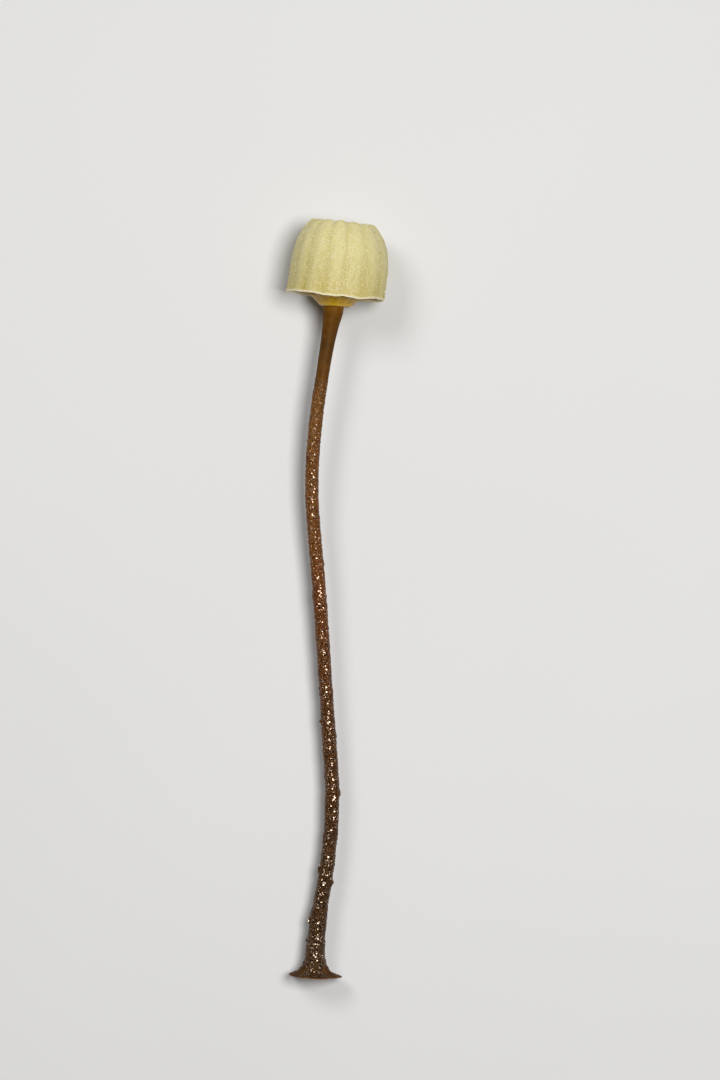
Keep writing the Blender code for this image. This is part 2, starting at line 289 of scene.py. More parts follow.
def makeCapFlesh():
    # cap flesh: thin, damp, slightly translucent tissue, so light softens inside it
    material, tree, shader = newMaterial("capFlesh")
    place = addNode(tree, "ShaderNodeTexCoord").outputs["Object"]
    share = {name: addNode(tree, "ShaderNodeAttribute", attribute_name=name).outputs["Fac"]
             for name in ("crease", "lip", "crown", "inside")}
    cloudy = addNode(tree, "ShaderNodeTexNoise", {
        "Vector": place, "Scale": 1 / (capFlesh["mottle"] * mm), "Detail": 4.0, "Roughness": 0.6})
    along = addNode(tree, "ShaderNodeMapping", {
        "Vector": place, "Scale": (1.0, 0.75, 1.0), "Rotation": (0.0, 0.0, math.radians(6.4))})
    fibres = addNode(tree, "ShaderNodeTexNoise", {
        "Vector": along.outputs[0], "Scale": 1 / (capFlesh["fibre"] * mm), "Detail": 3.0})
    uneven = addNode(tree, "ShaderNodeMapRange", {
        "Value": cloudy.outputs["Fac"], "From Min": 0.35, "From Max": 0.65, "To Min": -0.06, "To Max": 0.14})
    # painted shade: the flesh darkens in the creases and towards the rim, with random mottling on top
    creased = addNode(tree, "ShaderNodeMath", {0: share["crease"], 1: uneven.outputs[0]},
                      operation="ADD", use_clamp=True)
    flesh = mixColours(tree, creased.outputs[0], hexColour(capFlesh["ridge"]), hexColour(capFlesh["crease"]))
    flesh = mixColours(tree, share["crown"], flesh, hexColour(capFlesh["crown"]))
    grain = addNode(tree, "ShaderNodeMapRange", {
        "Value": fibres.outputs["Fac"], "From Min": 0.48, "From Max": 0.70, "To Min": 0.0, "To Max": 0.46})
    flesh = mixColours(tree, grain.outputs[0], flesh, hexColour(capFlesh["lip"]))
    # painted light: the inner wall is paler, standing in for light that shines through the thin wall
    flesh = mixColours(tree, share["inside"], flesh, hexColour(capFlesh["inside"]))
    flesh = mixColours(tree, share["lip"], flesh, hexColour(capFlesh["lip"]))
    bump = addNode(tree, "ShaderNodeBump", {
        "Height": fibres.outputs["Fac"], "Strength": 0.5, "Distance": 0.02 * mm})
    setInputs(tree, shader, {
        "Base Color": flesh, "Normal": bump.outputs[0],
        "Roughness": 0.50, "IOR": 1.38, "Specular IOR Level": 0.30,
        "Subsurface Weight": 0.50, "Subsurface Radius": (1.0, 0.8, 0.35), "Subsurface Scale": 0.50 * mm,
        "Sheen Weight": 0.9, "Sheen Roughness": 0.16, "Sheen Tint": hexColour(capFlesh["sheen"])})
    return material


grainColour = "f4eed2"


def makeCapGrain():
    # pale glistening grains that stick to the cap: moist and half clear
    material, tree, shader = newMaterial("capGrain")
    setInputs(tree, shader, {
        "Base Color": hexColour(grainColour), "Roughness": 0.28, "IOR": 1.36,
        "Subsurface Weight": 0.3, "Subsurface Radius": (1.0, 0.9, 0.7), "Subsurface Scale": 0.1 * mm})
    return material


gillFlesh = dict(
    body="c79b10",
    pale="ecc13a",
    deep="ac840a",
    plate="b39c62",  # the plates themselves are a duller tan than the collar
    streak=0.20,  # mm, faint stripes along the funnel
)


def makeGillFlesh():
    # gill and collar flesh: olive gold, damp and a little translucent, with a soft gloss
    material, tree, shader = newMaterial("gillFlesh")
    place = addNode(tree, "ShaderNodeTexCoord").outputs["Object"]
    edge = addNode(tree, "ShaderNodeAttribute", attribute_name="edge").outputs["Fac"]
    plate = addNode(tree, "ShaderNodeAttribute", attribute_name="plate").outputs["Fac"]
    along = addNode(tree, "ShaderNodeMapping", {"Vector": place, "Scale": (1.0, 0.35, 1.0)})
    cloudy = addNode(tree, "ShaderNodeTexNoise", {
        "Vector": along.outputs[0], "Scale": 1 / (gillFlesh["streak"] * mm), "Detail": 4.0})
    streaks = addNode(tree, "ShaderNodeMapRange", {
        "Value": cloudy.outputs["Fac"], "From Min": 0.35, "From Max": 0.65})
    flesh = mixColours(tree, streaks.outputs[0], hexColour(gillFlesh["deep"]), hexColour(gillFlesh["body"]))
    flesh = mixColours(tree, edge, flesh, hexColour(gillFlesh["pale"]))
    flesh = mixColours(tree, plate, flesh, hexColour(gillFlesh["plate"]))
    bump = addNode(tree, "ShaderNodeBump", {
        "Height": cloudy.outputs["Fac"], "Strength": 0.4, "Distance": 0.03 * mm})
    setInputs(tree, shader, {
        "Base Color": flesh, "Normal": bump.outputs[0], "Roughness": 0.40, "IOR": 1.38,
        "Subsurface Weight": 0.25, "Subsurface Radius": (1.0, 0.7, 0.2), "Subsurface Scale": 0.30 * mm})
    return material


stemRind = dict(
    # share of the way from the foot to the collar, and the rind's colour there
    colours=[
        (0.00, "1c1003"),
        (0.05, "160a01"),
        (0.14, "1d0d01"),
        (0.27, "331700"),
        (0.42, "4b2201"),
        (0.56, "642d02"),
        (0.72, "683503"),
        (0.84, "704513"),
        (0.94, "4e3004"),
        (0.99, "643d02"),
        (1.00, "8a5d06"),
    ],
    pit="160802",  # painted shade in the crust's pits; also the own colour of dark patches and of the darker beads
    peak="8f5f2c",  # painted highlight on the crust's ridges and grain tops; also the own colour of the palest beads and of the threads under the foot
    membrane="422604",  # the thin flare of the foot
    hidden=5.2,  # mm of the stem that the collar and the cap hide
    stain=0.5,  # mm, uneven patches
    tooth=0.20,  # mm, fine tooth of the crust, drawn coarser than it is
)


def makeStemRind(name, ior, shine, tint, smoothest, roughest, toothDepth):
    # stem rind: a horny brown skin, dull in itself, under a damp granular crust that glistens
    material, tree, shader = newMaterial(name)
    place = addNode(tree, "ShaderNodeTexCoord").outputs["Object"]
    share = {key: addNode(tree, "ShaderNodeAttribute", attribute_name=key).outputs["Fac"]
             for key in ("grain", "pit", "membrane", "dull")}
    low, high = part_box("stem")
    across = addNode(tree, "ShaderNodeSeparateXYZ", {"Vector": place})
    height = addNode(tree, "ShaderNodeMapRange", {
        "Value": across.outputs["Y"], "From Min": low.y, "From Max": high.y - stemRind["hidden"] * mm})
    rind = addNode(tree, "ShaderNodeValToRGB", {"Fac": height.outputs[0]}, stops=stemRind["colours"])
    stains = addNode(tree, "ShaderNodeTexNoise", {
        "Vector": place, "Scale": 1 / (stemRind["stain"] * mm), "Detail": 5.0, "Roughness": 0.65})
    dark = addNode(tree, "ShaderNodeMapRange", {
        "Value": stains.outputs["Fac"], "From Min": 0.45, "From Max": 0.72, "To Min": 0.0, "To Max": 0.35})
    skin = mixColours(tree, share["membrane"], rind.outputs["Color"], hexColour(stemRind["membrane"]))
    skin = mixColours(tree, dark.outputs[0], skin, hexColour(stemRind["pit"]))
    # on the skin, pit darkens the crust's pits as painted shade and grain lightens its ridges as painted
    # highlight; on the beads both are their own random tone
    skin = mixColours(tree, share["pit"], skin, hexColour(stemRind["pit"]))
    skin = mixColours(tree, share["grain"], skin, hexColour(stemRind["peak"]))
    tooth = addNode(tree, "ShaderNodeTexNoise", {
        "Vector": place, "Scale": 1 / (stemRind["tooth"] * mm), "Detail": 1.0})
    bump = addNode(tree, "ShaderNodeBump", {
        "Height": tooth.outputs["Fac"], "Strength": 1.0, "Distance": toothDepth * mm})
    gloss = addNode(tree, "ShaderNodeMapRange", {
        "Value": height.outputs[0], "From Min": 0.66, "From Max": 0.86,
        "To Min": smoothest, "To Max": roughest})
    # the membrane and the dull beads are rougher, and the dull beads shine less
    matt = addNode(tree, "ShaderNodeMath", {0: share["membrane"], 1: 0.35, 2: gloss.outputs[0]},
                   operation="MULTIPLY_ADD")
    matt = addNode(tree, "ShaderNodeMath", {0: share["dull"], 1: 0.36, 2: matt.outputs[0]},
                   operation="MULTIPLY_ADD")
    level = addNode(tree, "ShaderNodeMath", {0: share["dull"], 1: -shine, 2: shine}, operation="MULTIPLY_ADD")
    setInputs(tree, shader, {
        "Base Color": skin, "Normal": bump.outputs[0], "Roughness": matt.outputs[0], "IOR": ior,
        "Specular IOR Level": level.outputs[0], "Specular Tint": hexColour(tint),
        "Subsurface Weight": 0.40, "Subsurface Radius": (1.0, 0.4, 0.1), "Subsurface Scale": 0.30 * mm})
    return material


paintedBoard = dict(darker="d4d3d1", lighter="d8d7d5", roughness=0.75)


def makeFloorMaterial():
    # painted board: a plain pale matt surface
    material, tree, shader = newMaterial("paintedBoard")
    place = addNode(tree, "ShaderNodeTexCoord").outputs["Object"]
    cloud = addNode(tree, "ShaderNodeTexNoise", {"Vector": place, "Scale": 30.0, "Detail": 2.0})
    paint = mixColours(tree, cloud.outputs["Fac"], hexColour(paintedBoard["darker"]),
                       hexColour(paintedBoard["lighter"]))
    setInputs(tree, shader, {"Base Color": paint, "Roughness": paintedBoard["roughness"]})
    return material


capMaterial = makeCapFlesh()
capGrainMaterial = makeCapGrain()
gillMaterial = makeGillFlesh()
stemMaterial = makeStemRind("stemRind", ior=1.45, shine=0.22, tint="ffdcc0", smoothest=0.40, roughest=0.60,
                            toothDepth=0.025)
crustMaterial = makeStemRind("stemCrust", ior=1.62, shine=0.92, tint="ffdfc4", smoothest=0.06, roughest=0.12,
                             toothDepth=0.008)
print("materials made")


# Cap: a deep bell with a sunken crown, pleats, a thin wavy rim and scattered glistening grains

cap = dict(
    radius=3.97,
    height=5.94,
    crownRadius=2.30,
    crownSink=0.50,
    wall=0.42,
    rimWall=0.24,
    roof=4.68,  # height of the roof's underside
    pleats=15,
    pleatDepth=0.040,
    unevenness=0.30,  # share by which a crease is deeper or shallower than the usual
    crownNotch=0.075,  # mm that each crease cuts into the crown's edge
    crownBumps=0.10,
    rimBumps=0.05,
    crownReach=0.10,  # share of the height over which the crown's edge is shaped
    rimReach=0.12,  # and the rim
    pleatDrift=1.65,  # degrees that the pleats lean to the left in front
    bulge=0.10,  # the right side stands out a little more
    sides=360,
    outerRings=100,
    innerRings=56,
    wrinkle=0.012,  # mm
    creaseShade=0.27,  # how strongly the creases are darkened, a painted shade, and how much that varies
    creaseCloud=0.14,
    lowerShade=0.64,  # painted shade: how much the flesh darkens down to the rim
    lipWidth=0.10,  # mm of pale edge
    # rim height at angles from the front, in degrees, anticlockwise seen from above
    rimLine=[(-180, 0.02), (-150, -0.06), (-118, 0.04), (-84, 0.00), (-50, 0.03), (-33, 0.00),
             (-12, -0.09), (0, -0.14), (13, -0.02), (29, -0.11), (49, 0.08), (80, 0.14),
             (112, 0.02), (146, 0.04), (180, 0.02)],
    grains=512,  # a power of two, because the first grain is doubled again and again
    grainSizes=(0.018, 0.043),
    grainTilt=0.1,
    grainSteps=((0.56, 1.1), (0.40, 0.88), (0.24, 0.84)),  # rise and growth of each step of a grain
    fibre=[(-0.79, 2.43), (-0.46, 2.93), (-0.24, 3.32), (-0.10, 3.55)],  # a stray hair stuck to the front
    fibreRadius=0.030,
    fibreLift=0.9,  # share of its radius by which the hair's middle stands off the skin
    seed=4,
)


def capRings():
    radius, height, crownRadius = cap["radius"], cap["height"], cap["crownRadius"]
    crown = height - cap["crownSink"]
    outside = [
        (0.0, crown),
        (0.35 * crownRadius, crown + 0.02),
        (0.68 * crownRadius, crown + 0.42 * cap["crownSink"]),
        (0.88 * crownRadius, crown + 0.84 * cap["crownSink"]),
        (1.04 * crownRadius, height),
        (0.68 * radius, 0.970 * height),
        (0.75 * radius, 0.918 * height),
        (0.845 * radius, 0.820 * height),
        (0.905 * radius, 0.720 * height),
        (0.945 * radius, 0.620 * height),
        (0.975 * radius, 0.500 * height),
        (0.99 * radius, 0.330 * height),
        (0.99 * radius, 0.160 * height),
        (radius, 0.030 * height),
    ]
    wall = radius - cap["wall"]
    inside = [
        (radius - cap["rimWall"], 0.02 * height),
        (wall, 0.14 * height),
        (0.985 * wall, 0.45 * height),
        (0.93 * wall, 0.62 * height),
        (0.81 * wall, 0.77 * height),
        (0.62 * wall, cap["roof"] + 0.16),
        (0.30 * wall, cap["roof"] + 0.06),
        (0.0, cap["roof"] + 0.06),
    ]
    lip = [(radius + 0.02, 0.06), (radius, -0.02), (radius - 0.08, -0.05), (radius - 0.18, -0.03)]
    return [*evenLine(outside, cap["outerRings"]), *lip, *evenLine(inside, cap["innerRings"])]


def creasePhase(angle):
    fromFront = angle + math.pi / 2
    return fromFront + math.radians(cap["pleatDrift"]) * (1 + np.cos(fromFront))


def rimHeight(angle):
    fromFront = (np.degrees(angle) + 90 + 180) % 360 - 180
    line = np.array(smoothLine(cap["rimLine"], 8))
    return np.interp(fromFront, line[:, 0], line[:, 1])


def makeCap():
    piece = ringShell("pleated_cap", cap["sides"], capRings())
    places = points(piece)
    facing = normals(piece)
    angle = np.arctan2(places[:, 1], places[:, 0])
    across = np.hypot(places[:, 0], places[:, 1]) / mm
    rise = places[:, 2] / mm / cap["height"]
    phase = creasePhase(angle)
    crease = (1 - np.cos(cap["pleats"] * phase)) / 2
    pleat = np.floor(cap["pleats"] * phase / (2 * math.pi) + 0.5) % cap["pleats"]
    uneven = 1 + cap["unevenness"] * np.sin(pleat * 2.4 + 1.0)
    fade = np.minimum(1, across / cap["crownRadius"]) ** 2
    nearCrown = np.exp(-(((rise - 1) / cap["crownReach"]) ** 2))
    nearRim = np.exp(-((rise / cap["rimReach"]) ** 2))
    outwards = (facing[:, :2] * places[:, :2]).sum(axis=1) / (across * mm + 1e-9)
    inner = ((outwards < -0.15) | ((facing[:, 2] < -0.4) & (rise > 0.2))) & (rise < 0.85)
    depth = cap["pleatDepth"] * fade * crease**1.5 * uneven
    shrink = 1 - depth / np.maximum(across, 0.05)
    places[:, 0] *= shrink
    places[:, 1] *= shrink
    places[:, 0] += cap["bulge"] * mm * np.sin(math.pi * np.clip(rise, 0, 1))
    places[:, 2] -= cap["crownNotch"] * mm * fade * nearCrown * crease**2 * uneven * ~inner
    places[:, 2] += cap["crownBumps"] * mm * fade * nearCrown * noiseAt(places, 0.34, 2.2) * ~inner
    rimward = np.stack([places[:, 0], places[:, 1], 0 * angle], axis=1)
    places[:, 2] += nearRim * (rimHeight(angle) + cap["rimBumps"] * noiseAt(rimward, 0.5, 4.4)) * mm
    movePoints(piece, places)
    # fine wrinkles that run with the pleats, and soft dents
    facing = normals(piece)
    flat = np.stack([phase * cap["radius"] * mm, places[:, 2] * 0.22, across * mm * 0.3], axis=1)
    fine = noiseAt(flat, 0.16) + 0.6 * noiseAt(flat, 0.08, 3.1)
    dents = noiseAt(places, 0.9, 7.7)
    move = cap["wrinkle"] * mm * (0.6 * fine + 1.8 * dents) * np.minimum(1, across / 1.0)
    movePoints(piece, places + facing * move[:, None])
    lower = np.clip(1 - rise, 0, 1)
    # painted shade: darker in the creases and down towards the rim, a little lighter on the raised wrinkles
    faint = cap["creaseShade"] + cap["creaseCloud"] * noiseAt(places, 2.2, 9.1)
    creased = faint * crease**1.4 * fade * uneven - 0.18 * fine + cap["lowerShade"] * lower**2
    storeShare(piece, "crease", creased * ~inner)
    aboveRim = np.minimum(rise, 1) * cap["height"] + 0.02
    storeShare(piece, "lip", np.exp(-(aboveRim / cap["lipWidth"]) ** 2))
    sunken = np.clip(1 - (across / cap["crownRadius"]) ** 2, 0, 1) * (rise > 0.86)
    storeShare(piece, "crown", sunken * (0.75 + 0.5 * noiseAt(places, 0.5, 1.3)))
    # painted light: the inner wall is coloured paler, standing in for light through the thin wall
    storeShare(piece, "inside", 0.9 * inner)
    # grains stick mostly in the creases, outside the crown
    chance = np.random.default_rng(cap["seed"])
    sticky = np.where(inner | (across < cap["crownRadius"]) | (rise < 0.05), 0.0, 0.06 + crease**6)
    chosen = chance.choice(len(places), cap["grains"], replace=False, p=sticky / sticky.sum())
    sizes = chance.uniform(0, 1, cap["grains"]) ** 2
    small, large = cap["grainSizes"]
    facing = normals(piece)[chosen] + chance.normal(0, cap["grainTilt"], (cap["grains"], 3))
    sideways = chance.normal(0, 1, (cap["grains"], 3))
    grains = strewGrains("cap_grains", cap["grainSteps"], points(piece)[chosen], facing, sideways,
                         small + (large - small) * sizes)
    return piece, grains


def makeFibre(capPiece):
    # a thin round thread that is bent along its line and laid on the cap's front
    line = evenLine(cap["fibre"], 40)
    length = np.linalg.norm(np.diff(line, axis=0), axis=1).sum()
    rings = [(cap["fibreRadius"] * (0.35 + 0.65 * math.sin(math.pi * t)), t * length)
             for t in np.linspace(0.02, 0.98, 30)]
    piece = ringShell("cap_fibre", 8, [(0.0, 0.0), *rings, (0.0, length)])
    skin = points(capPiece)
    front = skin[skin[:, 1] < 0]
    places = points(piece)
    along = places[:, 2] / mm / length * (len(line) - 1)
    centre = np.stack([np.interp(along, np.arange(len(line)), line[:, k]) for k in range(2)], axis=1) * mm
    nearest = [np.argmin(np.hypot(front[:, 0] - x, front[:, 2] - z)) for x, z in centre]
    depth = front[nearest, 1] - cap["fibreLift"] * cap["fibreRadius"] * mm
    way = line[-1] - line[0]
    way /= np.linalg.norm(way)
    movePoints(piece, np.stack([centre[:, 0] + places[:, 0] * way[1], depth + places[:, 1],
                                centre[:, 1] - places[:, 0] * way[0]], axis=1))
    return piece


capPiece, capGrains = makeCap()
capFibre = makeFibre(capPiece)
finishPiece(capPiece, "cap", capMaterial, capFrame())
finishPiece(capGrains, "cap", capGrainMaterial, capFrame())
finishPiece(capFibre, "cap", capGrainMaterial, capFrame())
print("cap modelled:", len(capPiece.data.polygons), "faces")


# Gills: a collar round the stem's top that flares into a funnel, and one thin plate under each crease

gills = dict(
    count=15,
    thickness=0.16,
    root=1.30,  # radius where a plate starts, inside the collar
    reach=3.30,
    # a plate's lower and upper edge: radius and height
    lowerEdge=[(1.30, -0.08), (1.83, -0.18), (2.30, -0.09), (2.78, 0.06), (3.16, 0.26), (3.30, 0.44)],
    upperEdge=[(1.30, 4.62), (1.80, 4.60), (2.40, 4.42), (2.90, 3.70), (3.18, 2.60), (3.30, 1.30)],
    plateGrid=(26, 30),
    bore=0.88,
    boreTop=4.40,
    coreRadius=1.50,
    coreTop=4.55,
    funnelRadius=2.05,
    lipRadius=1.23,
    drop=0.84,
    lean=0.12,  # the collar's lower edge stands a little to the right of the cap's middle
    level=0.06,  # how much its lower edge is nearer to level than the cap's rim
    ridge=0.020,
    lumps=0.018,  # mm, soft bumps on the funnel
    waviness=0.05,
    bevel=0.03,
)


def makeCollar():
    bore, core, drop, lip = gills["bore"], gills["coreRadius"], gills["drop"], gills["lipRadius"]
    outline = [
        (core, gills["coreTop"]),
        (core, 1.60),
        (1.06 * core, 0.62),
        (gills["funnelRadius"], 0.10),
        (gills["funnelRadius"] + 0.02, -0.08 * drop),
        (0.90 * gills["funnelRadius"], -0.25 * drop),
        (0.77 * gills["funnelRadius"], -0.52 * drop),
        (1.12 * lip, -0.76 * drop),
        (1.01 * lip, -0.90 * drop),
        (0.90 * lip, -0.975 * drop),
        (bore + 0.10, -drop),
        (bore, -drop + 0.12),
        (bore, 0.20),
        (bore, gills["boreTop"]),
        (core, gills["coreTop"]),
    ]
    piece = ringShell("collar", 180, evenLine(outline, 90))
    places = points(piece)
    angle = np.arctan2(places[:, 1], places[:, 0])
    across = np.hypot(places[:, 0], places[:, 1]) / mm
    rise = places[:, 2] / mm
    ribs = (1 - np.cos(gills["count"] * creasePhase(angle))) / 2
    outer = np.clip((across - 1.15) / 0.2, 0, 1) * np.clip((0.5 - rise) / 0.3, 0, 1)
    fade = outer * np.clip((rise + 0.85) / 0.3, 0, 1)
    swell = (gills["ridge"] * ribs**3 * fade + gills["lumps"] * noiseAt(places, 0.30) * outer) * mm
    out = 1 + swell / np.maximum(across * mm, 1e-6)
    places[:, 0] *= out
    places[:, 1] *= out
    lower = np.clip((0.4 - rise) / 1.2, 0, 1)
    places[:, 2] += gills["level"] * places[:, 0] * lower
    places[:, 0] += gills["lean"] * mm * lower
    movePoints(piece, places)
    storeShare(piece, "edge", 0.22 * ribs**3 * fade + 0.9 * np.exp(-((rise + 0.74) / 0.10) ** 2) * outer)
    return piece


def gillPlate(name):
    # one gill on the +X side, from the collar out to the cap's wall: a grid bent to the gill's outline
    lowerLine = np.array(smoothLine(gills["lowerEdge"], 8))
    upperLine = np.array(smoothLine(gills["upperEdge"], 8))
    outwards, upwards = gills["plateGrid"]
    bpy.ops.object.select_all(action="DESELECT")
    bpy.ops.mesh.primitive_grid_add(x_subdivisions=outwards, y_subdivisions=upwards, size=1)
    piece = bpy.context.active_object
    piece.name = piece.data.name = name
    places = points(piece)
    radius = gills["root"] + (places[:, 0] + 0.5) * (gills["reach"] - gills["root"])
    up = places[:, 1] + 0.5
    low = np.interp(radius, lowerLine[:, 0], lowerLine[:, 1])
    high = np.interp(radius, upperLine[:, 0], upperLine[:, 1])
    height = low + up * (high - low)
    wave = gills["waviness"] * np.sin(1.9 * height + 0.8 * radius) * np.clip((radius - 1.4) / 0.8, 0, 1)
    movePoints(piece, np.stack([radius, wave, height], axis=1) * mm)
    applyModifier(piece, "SOLIDIFY", thickness=gills["thickness"] * mm, offset=0.0)
    applyModifier(piece, "BEVEL", width=gills["bevel"] * mm, segments=2, limit_method="ANGLE")
    places = points(piece) / mm
    edge = np.interp(places[:, 0], lowerLine[:, 0], lowerLine[:, 1])
    storeShare(piece, "edge", np.exp(-(((places[:, 2] - edge) / 0.08) ** 2)))
    storeShare(piece, "plate", np.interp(places[:, 0], [1.7, 2.4], [0.3, 0.85]))
    return piece


def gillAngles():
    angles = []
    for i in range(gills["count"]):
        wanted = (i + 0.5) * 2 * math.pi / gills["count"]
        fromFront = wanted
        for _ in range(8):
            fromFront = wanted - math.radians(cap["pleatDrift"]) * (1 + math.cos(fromFront))
        angles.append(fromFront - math.pi / 2)
    return angles


collar = makeCollar()
firstGill = gillPlate("gill_01")
gillPieces = [firstGill]
for number in range(2, gills["count"] + 1):
    copy = firstGill.copy()
    copy.data = firstGill.data.copy()
    copy.name = copy.data.name = f"gill_{number:02d}"
    bpy.context.scene.collection.objects.link(copy)
    gillPieces.append(copy)
for piece, angle in zip(gillPieces, gillAngles()):
    finishPiece(piece, "gills", gillMaterial, capFrame() @ Matrix.Rotation(angle, 4, "Z"))
finishPiece(collar, "gills", gillMaterial, capFrame())
print("gills and collar modelled")


# Stem: a thin bowed stalk with a granular crust, modelled straight and then bent along its line

stem = dict(
    footRadius=2.15,
    # heights and radii: of the foot, of the shaft, and of the neck, which is measured from the collar
    foot=[(0.0, 0.0), (0.0, 1.2), (0.02, 1.9), (0.10, 2.15), (0.20, 2.03), (0.35, 1.50), (0.54, 1.235),
          (0.88, 0.978), (1.60, 0.774)],
    shaft=[(2.5, 0.71), (4.6, 0.657), (6.5, 0.572), (9.0, 0.55), (14.0, 0.56), (24.0, 0.52)],
    neck=[(-4.94, 0.52), (-2.6, 0.565), (-1.6, 0.625), (-0.7, 0.72), (0.0, 0.87), (0.35, 0.84), (0.8, 0.72)],
    coreRadius=0.72,
    coreTop=4.30,  # how far the stem goes up into the cap, above the rim
    lead=0.3,  # mm of stem under the collar that follow the cap's axis
    sides=10,
    levels=3,  # of subdivision
    fineRing=0.40,  # mm between the rings, before the subdivision
    coarseRing=0.65,  # mm between them in the stem's top
    lumps=0.05,  # mm, uneven thickness of the stalk
    cell=0.27,  # mm from pit to pit in the net of the crust
    netHeight=0.012,
    grainHeight=0.026,
    toothHeight=0.009,
    sunk=0.014,  # mm that the whole crust is drawn in, so that its relief doesn't thicken the stem
    lobe=0.16,  # mm that the foot's lobes stand out
    lobeTop=0.48,  # mm above the sole, where they have died away
    membraneStart=(0.80, 1.10),  # radii between which the crust gives way to the membrane
    streakEnd=(1.9, 2.1),  # radii between which the crust's streaks end
    # the stalk's middle line in the growing mushroom's space, as far as the cap's axis
    line=[(-0.08, 0.00, 0.0), (0.06, 0.02, 2.6), (0.32, 0.05, 5.0), (1.06, 0.12, 9.6),
          (1.36, 0.22, 14.6), (1.02, 0.30, 20.6), (0.38, 0.26, 30.2), (-0.25, 0.12, 38.6),
          (0.02, 0.02, 44.0), (0.66, 0.00, 48.6)],
    # warts that stand out on the photographed outline: height, degrees from the front, width, thickness
    warts=[(33.2, 82, 0.20, 0.06), (30.6, -84, 0.22, 0.06), (29.8, 70, 0.22, 0.06),
           (24.4, -80, 0.18, 0.05), (20.6, -88, 0.13, 0.13), (19.4, 78, 0.30, 0.06),
           (14.8, 84, 0.28, 0.14), (12.6, 20, 0.20, 0.06), (8.6, -86, 0.22, 0.13),
           (7.7, 84, 0.25, 0.17), (4.5, -84, 0.24, 0.15), (2.9, -88, 0.16, 0.10)],
    # the crust's beads in three pieces: name, from and to which height, and how large
    crusts=[("crust_beads_low", 0.21, 16.02, 1.0), ("crust_beads_middle", 16.02, 31.02, 0.94),
            ("crust_beads_high", 31.02, 48.02, 0.80)],
    beads=4096,  # in each piece, a power of two as well
    spacing=0.098,  # mm, the cells that hold one bead each
    beadSizes=(0.062, 0.118),
    beadSteps=((0.46, 1.11), (0.13, 0.82), (0.08, 0.80)),  # rise and growth: a low dome with a flat top
    beadTilt=0.14,  # how much the beads' tops lean at random
    beadLift=0.40,  # share of its size by which the proudest bead stands higher than the others
    seed=17,
)


def stemLine():
    rim, crown = Vector(growth["rimCentre"]), Vector(growth["crownCentre"])
    axis = (crown - rim).normalized()
    under, roof = rim - axis * (gills["drop"] + stem["lead"]), rim + axis * stem["coreTop"]
    line = smoothLine([*stem["line"], tuple(under)], 40)
    return np.array([*line, *(np.array(under.lerp(roof, t)) for t in np.linspace(0.02, 1, 30))])


def makeStem():
    line = stemLine()
    along = np.append(0.0, np.cumsum(np.linalg.norm(np.diff(line, axis=0), axis=1)))
    total = along[-1] - stem["lead"] - gills["drop"] - stem["coreTop"]  # as far as the collar
    neck = [(total + h, r) for h, r in stem["neck"]]
    places, radii = zip(*stem["foot"], *stem["shaft"], *neck, (along[-1], stem["coreRadius"]))
    shrink = (2 + math.cos(2 * math.pi / stem["sides"])) / 3  # a subdivided ring draws in by this much
    rough = np.arange(2.0, total - 8.0, stem["fineRing"])
    smooth = np.arange(rough[-1] + stem["coarseRing"], along[-1], stem["coarseRing"])
    shaftRings = [(float(np.interp(h, places, radii)) / shrink, h) for h in [*rough, *smooth, along[-1]]]
    rings = [(r / shrink, h) for h, r in stem["foot"]] + shaftRings + [(0.0, along[-1] + 0.05)]
    piece = ringShell("granular_stem", stem["sides"], rings)
    applyModifier(piece, "SUBSURF", levels=stem["levels"], render_levels=stem["levels"])
    return piece, line, along, total


def ringOrder(height, angle, sides):
    # the skin's points ring by ring from the foot, because the subdivision gives them in any order
    upwards = np.argsort(height)
    ring = np.empty(len(height))
    ring[upwards] = np.cumsum(np.append(0, np.diff(height[upwards]) > 0.001))
    turn = np.round(angle * sides / (2 * math.pi)) % sides
    return np.lexsort((turn, ring))


